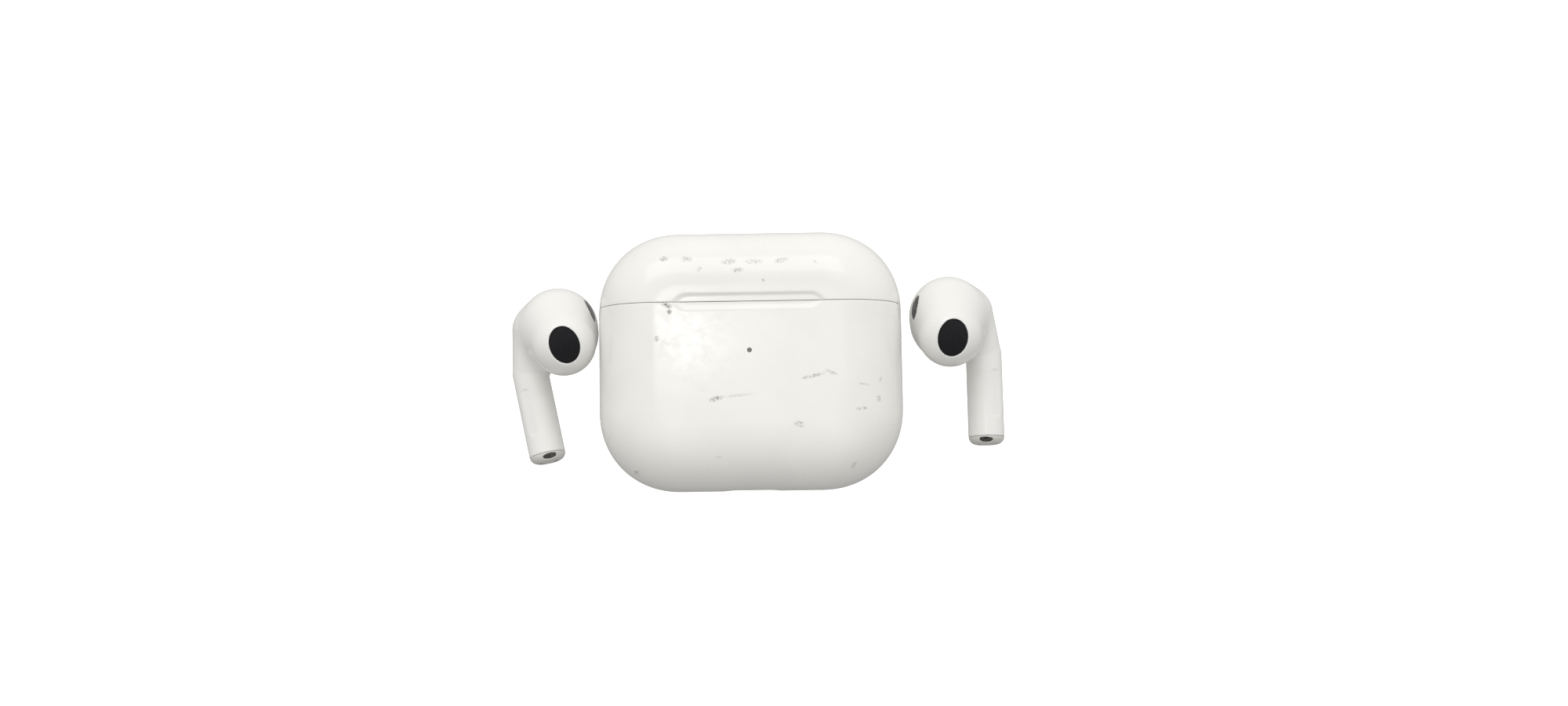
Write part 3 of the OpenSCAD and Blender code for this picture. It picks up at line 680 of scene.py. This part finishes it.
def case_shells():
    verts, faces = cup(BASE_TOP + RIM_REACH, -1)
    base = new_piece("case_base", verts, faces, CASE_WHITE, "case", ["base_shell"])
    cut(base, prism(circle(LIGHT_R + 0.02, 48, 0, LIGHT_Y), CASE_T - 3, CASE_T + 2, 2))
    cut(base, prism(circle(BUTTON_R + 0.12, 96, 0, BUTTON_Y), -2, 3, 2))
    cut(base, prism(stadium_outline(PORT_T + 1.2, PORT_W + 1.2, 32, MID_Z), base_lo[1] - 2, base_lo[1] + 3, 1))
    verts, faces = cup(LID_BOTTOM - RIM_REACH, 1)
    new_piece("case_lid", verts, faces, CASE_WHITE, "lid", ["lid_shell"])


# ---------- inside of the case ----------


def stored(point):
    """Where a point of the earbud comes to in the right-hand well, as x and z."""
    x, z = point[0], point[2]
    return (
        STORED_X + x * math.cos(STORED_TURN) + z * math.sin(STORED_TURN),
        MID_Z + x * math.sin(STORED_TURN) - z * math.cos(STORED_TURN),
    )


STORED_NOSE, STORED_NECK, STORED_STEM = stored(NOSE), stored(NECK), stored(STEM)


def pocket(x, y, z, at, foot_y, r):
    """Round at its foot and open upwards."""
    return np.sqrt((x - at[0]) ** 2 + (z - at[1]) ** 2 + np.minimum(y - foot_y, 0) ** 2) - r


def well(x, y, z):
    """Both wells, each the earbud's form swept upwards."""
    x = np.abs(x)
    form = pocket(x, y, z, (STORED_X, MID_Z), SEAM_Y - 1, HEAD_R + WELL_GAP)
    form = smooth_min(form, pocket(x, y, z, STORED_NOSE, SEAM_Y - 3.3, NOSE_R + WELL_GAP), 0.8)
    form = smooth_min(form, pocket(x, y, z, STORED_NECK, SEAM_Y + 2.2, NECK_R + WELL_GAP), 1.0)
    between = [(a + b) / 2 for a, b in zip(STORED_NECK, STORED_STEM, strict=True)]
    form = smooth_min(form, pocket(x, y, z, between, SEAM_Y - 1.5, 4.1), 1.0)
    bore = np.maximum(np.hypot(x - STORED_STEM[0], z - STORED_STEM[1]) - STEM_R - 0.3, BLOCK_TOP - BLOCK_H - 1 - y)
    return smooth_min(form, bore, 0.5)


def hinge_room(x, y, z):
    """What the cradle and the liner leave free round the hinge's barrel."""
    return np.maximum(np.hypot(y - HINGE_Y, z - HINGE_Z) - 1.25, np.abs(x) - HINGE_HALF_W - 0.3)


def box_field(x, y, z, lo, hi):
    return np.maximum.reduce(
        np.broadcast_arrays(lo[0] - x, x - hi[0], lo[1] - y, y - hi[1], lo[2] - z, z - hi[2])
    )


def cradle_field(x, y, z):
    deck = np.maximum(BASE_TOP - 4.4 - y, y - BASE_TOP)
    side = np.abs(x)
    pod = box_field(side, y, z, (4.6, -0.4, SKIN + 1.2), (25.0, BASE_TOP - 1, CASE_T - SKIN - 0.8))
    tube = np.hypot(side - STORED_STEM[0], z - STORED_STEM[1]) - STEM_R - 0.8
    tube = np.maximum(np.maximum(tube, BLOCK_TOP - BLOCK_H - y), y - BASE_TOP + 1)
    body = np.minimum(np.minimum(deck, pod), tube)
    body = smooth_max(slab(x, y, z, SKIN), body, 0.35)
    lip = smooth_max(slab(x, y, z, LIP_INSET), np.maximum(y - BASE_TOP - 1.0, BASE_TOP - 1 - y), 0.5)
    notch = box_field(x, y, z, (-4.1, BASE_TOP, 16.2), (4.1, BASE_TOP + 3, CASE_T + 1))
    behind = box_field(x, y, z, (-11.9, BASE_TOP, -1), (11.9, BASE_TOP + 3, 3.3))
    lip = smooth_max(lip, -np.minimum(notch, behind), 0.25)
    body = smooth_min(body, lip, 0.3)
    body = smooth_max(body, -well(x, y, z), 0.9)
    plate = box_field(x, y, z, (-11.7, SEAM_Y - 5.2, -1), (11.7, BASE_TOP + 2, 1.9))
    return np.maximum(body, -np.minimum(hinge_room(x, y, z), plate))


def liner_field(x, y, z):
    """The lid's lining, with a boss for the magnet in front and one for the hinge's plate behind."""
    skin = np.maximum(slab(x, y, z, SKIN), LID_BOTTOM - y)
    hollow = slab(x, y, z, CAVITY)
    front = box_field(x, y, z, (-3.8, LID_BOTTOM - 1, 16.6), (3.8, LID_BOTTOM + 3.6, CASE_T))
    back = box_field(x, y, z, (-8, LID_BOTTOM - 1, -1), (8, SEAM_Y + 4.1, 2.9))
    hollow = smooth_max(hollow, -np.minimum(front, back), 0.5)
    body = smooth_max(skin, -hollow, 0.25)
    plate = box_field(x, y, z, (-6.7, 0, -1), (6.7, SEAM_Y + 3.4, 1.9))
    knuckles = box_field(x, y, z, (-11.9, 0, -1), (11.9, SEAM_Y + 1.2, 2.1))
    return np.maximum(body, -np.minimum(np.minimum(plate, knuckles), hinge_room(x, y, z)))


def inside_pieces():
    lo, hi = box_mm("cradle")
    verts, faces = surface_net(cradle_field, lo, hi, 0.3)
    new_piece("cradle_inner", verts, faces, INNER_WHITE, "case", ["cradle"], sharp=50)
    lo, hi = box_mm("lid_liner")
    verts, faces = surface_net(liner_field, lo, hi, 0.25)
    new_piece("lid_lining", verts, faces, INNER_WHITE, "lid", ["lid_liner"], sharp=50)


def soften_hinge():
    """Breaks the sharp edges of the hinge's two steel halves, which come from the CAD."""
    for node in ("hinge_bracket", "hinge_leaf"):
        edge = frame["nodes"][node].modifiers.new("edge", "BEVEL")
        edge.width, edge.segments = 0.07 * MM, 2
        edge.limit_method, edge.angle_limit = "ANGLE", math.radians(40)


def button_piece():
    """The setup button, slightly dished, on its flange and nub."""
    face = [(0.02, 0.16), (1.2, 0.15), (2.2, 0.125), (BUTTON_R - 0.25, 0.1)]
    turns = np.linspace(0.2, math.pi / 2, 4)
    edge = [(BUTTON_R - 0.25 + 0.25 * math.sin(t), 0.35 - 0.25 * math.cos(t)) for t in turns]
    flange = [(BUTTON_R, 1.28), (BUTTON_R + 0.5, 1.28), (BUTTON_R + 0.5, 1.7)]
    nub = [(0.9, 1.7), (0.9, 2.15), (0.02, 2.2)]
    verts, faces = lathe(face + edge + flange + nub, 96, Matrix.Translation((0, BUTTON_Y, 0)))
    new_piece("setup_key", verts, faces, CASE_WHITE, "setup_button", ["setup_button"])


def light_piece():
    """The status light's window, its face just below the shell's."""
    top = CASE_T - 0.06
    profile = [(0.02, 19.2), (1.1, 19.2), (1.1, 20.12), (LIGHT_R, 20.14)]
    profile += [(LIGHT_R, top - 0.08), (LIGHT_R - 0.03, top - 0.03), (LIGHT_R - 0.1, top), (0.02, top + 0.01)]
    verts, faces = lathe(profile, 48, Matrix.Translation((0, LIGHT_Y, 0)))
    new_piece("status_light", verts, faces, LIGHT_WINDOW, "case", ["light_pipe"])


def port_ring_piece():
    """The port's metal mouth: a rounded band that follows the base's curve."""
    section = [(0.02, 1.35), (0.02, 0.3), (0.1, 0.12), (0.24, 0.06)]
    section += [(0.4, 0.1), (0.5, 0.25), (0.53, 0.5), (0.53, 1.35)]
    edge = stadium_outline(PORT_T + 0.6, PORT_W + 0.6, 32, MID_Z)
    surface = base_surface_y(edge[:, 0], edge[:, 1])
    rows = []
    for grow, depth in section:
        outline = stadium_outline(PORT_T + 2 * grow, PORT_W + 2 * grow, 32, MID_Z)
        rows.append(np.stack([outline[:, 0], surface + depth, outline[:, 1]], 1))
    n = len(rows[0])
    verts = np.vstack(rows)
    faces = grid_faces(len(rows), n)
    last = (len(rows) - 1) * n
    faces += [(last + j, last + (j + 1) % n, (j + 1) % n, j) for j in range(n)]
    piece = new_piece("port_mouth", verts, faces, PORT_METAL, "case", ["port_ring"])
    face_outwards(piece.data)


def base_surface_y(x, z):
    """The height of the case's bottom face at x and z."""
    low, high = np.full(len(x), base_lo[1] - 1.0), np.full(len(x), -10.0)
    for _ in range(40):
        middle = (low + high) / 2
        outside = slab(x, middle, z, 0) > 0
        low, high = np.where(outside, middle, low), np.where(outside, high, middle)
    return high


# ---------- earbuds ----------


def bud_form(x, y, z):
    """The outside of an earbud with its tip cut square: head, neck, stem and nose in one."""
    stem = np.maximum(np.hypot(x - STEM[0], z - STEM[2]) - STEM_R, y - STEM[1])
    stem = np.minimum(stem, ball(x, y, z, STEM, STEM_R))
    neck = cone(x, y, z, STEM, NECK, STEM_R - 0.05, NECK_R)
    head = cone(x, y, z, (0, 1.1, -0.1), (0, -0.6, -0.1), HEAD_R - 0.15, HEAD_R - 0.3)
    body = smooth_min(smooth_min(neck, stem, 0.1), head, 1.8)
    body = smooth_min(body, cone(x, y, z, (0, 0.2, 0.5), NOSE, HEAD_R - 0.35, NOSE_R), 1.2)
    return smooth_max(body, -pinch_flat(x, y, z), 0.12)


def pinch_flat(x, y, z):
    """The shallow flat that the fingers squeeze, facing up and out."""
    turn = math.radians(59)
    out = (x - STEM[0]) * math.cos(turn) + (z - STEM[2]) * math.sin(turn)
    along = -(x - STEM[0]) * math.sin(turn) + (z - STEM[2]) * math.cos(turn)
    edge = stadium(along, y + 13.2, 2.3, 8.6)
    return smooth_max(edge, STEM_R - 0.16 - out, 0.1)


def outlet_axes():
    """The sound outlet's frame: its right, its up and the way it faces, from the nose's middle."""
    face = np.array([0, -math.sin(OUTLET_TILT), math.cos(OUTLET_TILT)])
    right = np.array([math.cos(math.radians(-9)), math.sin(math.radians(-9)) * face[2], 0])
    right -= face * (right @ face)
    right /= np.linalg.norm(right)
    return right, np.cross(face, right), face


def local(x, y, z, origin, axes):
    return [
        (x - origin[0]) * a[0] + (y - origin[1]) * a[1] + (z - origin[2]) * a[2] for a in axes
    ]


def outlet_hole(x, y, z, grow=0.0):
    u, v, w = local(x, y, z, NOSE, outlet_axes())
    return np.maximum(oval(u, v, OUTLET_W + 2 * grow, OUTLET_L + 2 * grow), 2.0 - w)


SENSOR_AT = np.array([0.0, 2.0, 0.8])
SENSOR_TURN = math.radians(18)
SENSOR_AXES = (
    np.array([math.sin(SENSOR_TURN), 0, math.cos(SENSOR_TURN)]),
    np.array([0.0, 1, 0]),
    np.array([-math.cos(SENSOR_TURN), 0, math.sin(SENSOR_TURN)]),
)
VENT_AT = np.array([0.0, 0.4, 0.0])
VENT_TURN = math.radians(97)
VENT_AXES = (
    np.array([0, -math.cos(VENT_TURN), math.sin(VENT_TURN)]),
    np.array([1.0, 0, 0]),
    np.array([0, math.sin(VENT_TURN), math.cos(VENT_TURN)]),
)


def sensor_hole(x, y, z, grow=0.0):
    u, v, w = local(x, y, z, SENSOR_AT, SENSOR_AXES)
    return np.maximum(oval(u, v, 2.2 + 2 * grow, 4.4 + 2 * grow), 2.0 - w)


def vent_hole(x, y, z, grow=0.0):
    u, v, w = local(x, y, z, VENT_AT, VENT_AXES)
    return np.maximum(stadium(u, v, 1.8 + 2 * grow, 4.2 + 2 * grow), 2.0 - w)


def rear_shell_field(x, y, z):
    body = smooth_max(bud_form(x, y, z), TIP_Y + CAP_H - y, 0.06)
    body = smooth_max(body, -vent_hole(x, y, z), 0.15)
    body = np.maximum(body, z - SPLIT_Z + 0.02)
    inner = np.maximum(bud_form(x, y, z) + BUD_WALL, TIP_Y + CAP_H - 0.5 - y)
    return np.maximum(body, -inner)


def front_shell_field(x, y, z):
    outside = bud_form(x, y, z)
    for hole, fillet in ((outlet_hole, 0.28), (sensor_hole, 0.1)):
        outside = smooth_max(outside, -hole(x, y, z), fillet)
    body = np.maximum(outside, SPLIT_Z + 0.02 - z)
    return np.maximum(body, -(bud_form(x, y, z) + BUD_WALL))


TIP_ROUND = 1.5  # the tip's edge
SHOULDER = math.sqrt(0.5)
MIC_IN = TIP_ROUND * (1 - SHOULDER)
MIC_AT = np.array([STEM[0] - 0.35, TIP_Y + MIC_IN + 0.1, STEM[2] + STEM_R - MIC_IN])
MIC_AXES = np.array([[1.0, 0, 0], [0, SHOULDER, SHOULDER], [0, -SHOULDER, SHOULDER]])
MIC_W, MIC_L = 2.4, 1.25


def tip_form(x, y, z):
    across = np.hypot(x - STEM[0], z - STEM[2]) - (STEM_R - TIP_ROUND)
    down = TIP_Y + TIP_ROUND - y
    outside = np.hypot(np.maximum(across, 0), np.maximum(down, 0))
    return outside + np.minimum(np.maximum(across, down), 0) - TIP_ROUND


def cap_field(x, y, z):
    """The tip's cap, with an oval mouth for the microphone on its upper shoulder."""
    body = smooth_max(tip_form(x, y, z), y - TIP_Y - CAP_H + 0.05, 0.1)
    u, v, w = local(x, y, z, MIC_AT, MIC_AXES)
    return smooth_max(body, -np.maximum(oval(u, v, MIC_W, MIC_L), -0.55 - w), 0.12)


def window(hole, sink, thick):
    """A patch of the earbud's own surface that fills a hole, a little below it."""

    def field(x, y, z):
        form = bud_form(x, y, z)
        return np.maximum(smooth_max(form + sink, hole(x, y, z, -0.03), 0.08), -(form + sink + thick))

    return field


def woven_oval(width, length, pitch, wire, lift):
    """Wires woven over and under each other across an oval, in its own plane. lift gives the height at u and v."""
    verts, faces = [], []
    sides = 5
    for across in (0, 1):
        half, reach = (width / 2, length / 2) if across else (length / 2, width / 2)
        count = int(half / pitch)
        for line in range(-count, count + 1):
            v = line * pitch
            end = reach * math.sqrt(max(1 - (v / half) ** 2, 0))
            steps = max(int(end / pitch * 6), 2)
            u = np.linspace(-end, end, steps)
            wave = wire * 1.05 * np.cos(math.pi * u / pitch) * (-1) ** (line + across)
            a, b = (np.full(steps, v), u) if across else (u, np.full(steps, v))
            height = lift(a, b) + wave
            turn = np.linspace(0, 2 * math.pi, sides, endpoint=False)
            ring = []
            for t in turn:
                side = wire * math.cos(t)
                ring.append(np.stack([a + side * across, b + side * (1 - across), height + wire * math.sin(t)], 1))
            start = len(verts)
            for i in range(steps):
                verts += [r[i] for r in ring]
            faces += [tuple(start + k for k in f) for f in grid_faces(steps, sides)]
            faces.append(tuple(start + k for k in range(sides))[::-1])
            faces.append(tuple(start + (steps - 1) * sides + k for k in range(sides)))
    return np.array(verts), faces


def outlet_mesh():
    """The sound outlet's woven screen, bowed like the nose it sits in, and that bow, which its dark backing follows
    too.
    """
    sphere = NOSE_R - 0.36

    def lift(u, v):
        return np.sqrt(sphere**2 - u**2 - v**2)

    verts, faces = woven_oval(OUTLET_W + 0.1, OUTLET_L + 0.1, 0.2, 0.055, lift)
    return verts, faces, lift


def oval_sheet(width, length, lift, rings=8, n=64):
    """A bowed oval sheet, closed below by a flat one."""
    rows = []
    for k in range(1, rings + 1):
        u, v = (circle(1, n) * [width / 2, length / 2] * k / rings).T
        rows.append(np.stack([u, v, lift(u, v)], 1))
    edge = rows[-1].copy()
    edge[:, 2] -= 0.25
    rows.append(edge)
    verts = np.vstack(rows)
    faces = grid_faces(len(rows), n) + [tuple(range(n))[::-1], tuple(range(len(verts) - n, len(verts)))]
    return verts, [f[::-1] for f in faces]


def from_axes(verts, origin, axes):
    return np.asarray(verts) @ np.array(axes) + origin


def crescent_field(x, y, z):
    """The two charging contacts, let into the cap's face."""
    out = np.hypot(x - STEM[0], z - STEM[2])
    ring = np.maximum(out - 1.75, 1.2 - out)
    span = np.maximum(np.abs(z - STEM[2] + 0.3) - 1.2, 0.5 - np.abs(x - STEM[0]))
    return smooth_max(np.maximum(ring, span), np.maximum(cap_field(x, y, z) - 0.012, y - TIP_Y - 0.8), 0.05)


def earbud(side):
    body = f"{side}_earbud"
    if side == "left":
        place = Matrix.Translation((*LEFT_BUD_AT, HEAD_R + math.sin(LEFT_PITCH)))
        place = place @ Matrix.Rotation(-LEFT_PITCH, 4, "X")
    else:
        place = Matrix.Translation((*RIGHT_BUD_AT, HEAD_R + math.sin(RIGHT_PITCH)))
        place = place @ Matrix.Rotation(RIGHT_BUD_TURN, 4, "Z") @ Matrix.Rotation(-RIGHT_PITCH, 4, "X")
        place = place @ Matrix.Rotation(RIGHT_BUD_ROLL, 4, "Y") @ Matrix.Scale(-1, 4, (1, 0, 0))

    def add(name, verts, faces, material, nodes, sharp=40):
        nodes = [f"{side}_bud_{n}" for n in nodes]
        return new_piece(f"{side}_bud_{name}", verts, faces, material, body, nodes, sharp, place)

    low = np.array([-HEAD_R, TIP_Y, -7.6])
    high = np.array([STEM[0] + STEM_R, HEAD_R + 1.5, SPLIT_Z])
    verts, faces = surface_net(rear_shell_field, low, high, 0.22)
    add("back", verts, faces, BUD_WHITE, ["rear_shell"])
    verts, faces = surface_net(front_shell_field, (-HEAD_R, -9.5, SPLIT_Z), (HEAD_R + 2, HEAD_R + 1.5, 11), 0.2)
    add("front", verts, faces, BUD_WHITE, ["front_shell"])
    box = (STEM[0] - STEM_R, TIP_Y, STEM[2] - STEM_R), (STEM[0] + STEM_R, TIP_Y + CAP_H, STEM[2] + STEM_R)
    verts, faces = surface_net(cap_field, *box, 0.11)
    # the cap's material carries painted shade as well as the cap's own off-white tone
    add("end_cap", verts, faces, CAP_TONE_AND_SHADE, ["tip_cap"])
    verts, faces = surface_net(crescent_field, *box, 0.09)
    add("end_contacts", verts, faces, TIP_METAL, ["tip_contacts"])

    verts, faces, lift = outlet_mesh()
    axes = outlet_axes()
    add("screen", from_axes(verts, NOSE, axes), faces, MESH_BLACK, ["outlet_mesh"], 60)
    verts, faces = oval_sheet(OUTLET_W + 0.2, OUTLET_L + 0.2, lambda u, v: lift(u, v) - 0.14)
    add("screen_back", from_axes(verts, NOSE, axes), faces, MESH_BACK, [])

    verts, faces = surface_net(window(sensor_hole, 0.03, 0.35), (-8, -1.5, 0.5), (-4, 5.5, 6), 0.1)
    add("sensor", verts, faces, LENS, ["skin_sensor"])
    verts, faces = surface_net(window(vent_hole, 0.2, 0.2), (-3, 6.5, -2.6), (3, 8.8, 0.6), 0.1)
    add("vent", verts, faces, MESH_BLACK, ["vent_mesh"])

    verts, faces = woven_oval(MIC_W, MIC_L, 0.16, 0.04, lambda u, v: 0.0 * u - 0.3)
    add("mic_screen", from_axes(verts, MIC_AT, MIC_AXES), faces, MIC_GREY, ["mic_mesh"], 60)
    verts, faces = oval_sheet(MIC_W + 0.1, MIC_L + 0.1, lambda u, v: 0.0 * u - 0.38, 3, 40)
    add("mic_back", from_axes(verts, MIC_AT, MIC_AXES), faces, MESH_BACK, [])


case_shells()
inside_pieces()
soften_hinge()
button_piece()
light_piece()
port_ring_piece()
for bud_side in ("left", "right"):
    earbud(bud_side)


# ---------- stage, light and camera ----------

FLOOR_Z = -27 * MM  # the open lid hangs below the case, so the floor is lower still
TARGET = Vector((6.0, 1.5, MID_Z)) * MM
DISTANCE = 300 * MM
ELEVATION = math.radians(84.5)
ROLL = math.radians(-0.9)
VIEW_W = 282.5 * MM  # what the picture is wide at the target


def stage():
    m = Nodes("floor_white")
    m.to(m.mix(m.fit(m.noise(0.01, 2), 0.3, 0.7), (0.9, 0.9, 0.9), (0.88, 0.88, 0.88)), "Base Color")
    m.set(Roughness=0.9, Emission_Color=(1, 1, 1, 1), Emission_Strength=0.6)
    mesh = bpy.data.meshes.new("floor")
    half = 3.0
    mesh.from_pydata([(-half, -half, 0), (half, -half, 0), (half, half, 0), (-half, half, 0)], [], [(0, 1, 2, 3)])
    mesh.materials.append(m.material)
    floor = bpy.data.objects.new("floor", mesh)
    floor.location.z = FLOOR_Z
    floor.visible_diffuse = floor.visible_glossy = False  # a white floor would light the shaded edges from below
    bpy.context.scene.collection.objects.link(floor)


def sky():
    """An even studio sky, brighter above and behind the case than in front of it and below."""
    world = bpy.data.worlds.new("studio")
    bpy.context.scene.world = world
    world.use_nodes = True
    nodes, links = world.node_tree.nodes, world.node_tree.links
    way = nodes.new("ShaderNodeTexCoord")
    rise = nodes.new("ShaderNodeVectorMath")
    rise.operation = "DOT_PRODUCT"
    rise.inputs[1].default_value = (0.03, 0.3, 0.26)
    level = nodes.new("ShaderNodeMath")
    level.operation = "ADD"
    level.inputs[1].default_value = 0.66
    background = nodes["Background"]
    background.inputs["Color"].default_value = (1.0, 0.99, 0.97, 1)
    links.new(way.outputs["Generated"], rise.inputs[0])
    links.new(rise.outputs["Value"], level.inputs[0])
    links.new(level.outputs[0], background.inputs["Strength"])


def softbox(name, at, aim, width, height, radiance, colour=(1, 1, 1)):
    """A rectangular area lamp of an even brightness."""
    light = bpy.data.lights.new(name, "AREA")
    light.shape, light.size, light.size_y = "RECTANGLE", width, height
    light.energy, light.color = radiance * math.pi * width * height, colour
    lamp = bpy.data.objects.new(name, light)
    lamp.location = at
    lamp.rotation_mode = "QUATERNION"
    lamp.rotation_quaternion = (Vector(aim) - Vector(at)).to_track_quat("-Z", "Y")
    bpy.context.scene.collection.objects.link(lamp)


def lights():
    sky()
    softbox("key", (-0.1, 0.75, 0.75), (0, 0, 0), 0.9, 0.6, 1.4, (1, 0.995, 0.985))
    softbox("front_box", (-0.013, 0.0625, 0.597), (0, 0.003, 0.021), 0.107, 0.073, 1.3)
    softbox("bulb", (-0.0465, 0.069, 0.597), (-0.012, 0.005, 0.021), 0.02, 0.034, 14.0)


def camera():
    data = bpy.data.cameras.new("camera")
    data.sensor_width = 36
    data.lens = data.sensor_width * DISTANCE / VIEW_W
    data.clip_start, data.clip_end = 0.01, 20
    made = bpy.data.objects.new("camera", data)
    back = Vector((0, -math.cos(ELEVATION), math.sin(ELEVATION)))
    made.location = TARGET + back * DISTANCE
    made.rotation_mode = "QUATERNION"
    made.rotation_quaternion = (-back).to_track_quat("-Z", "Y") @ Matrix.Rotation(ROLL, 3, "Z").to_quaternion()
    bpy.context.scene.collection.objects.link(made)
    bpy.context.scene.camera = made


stage()
lights()
camera()
bpy.context.scene.view_settings.view_transform = "Standard"
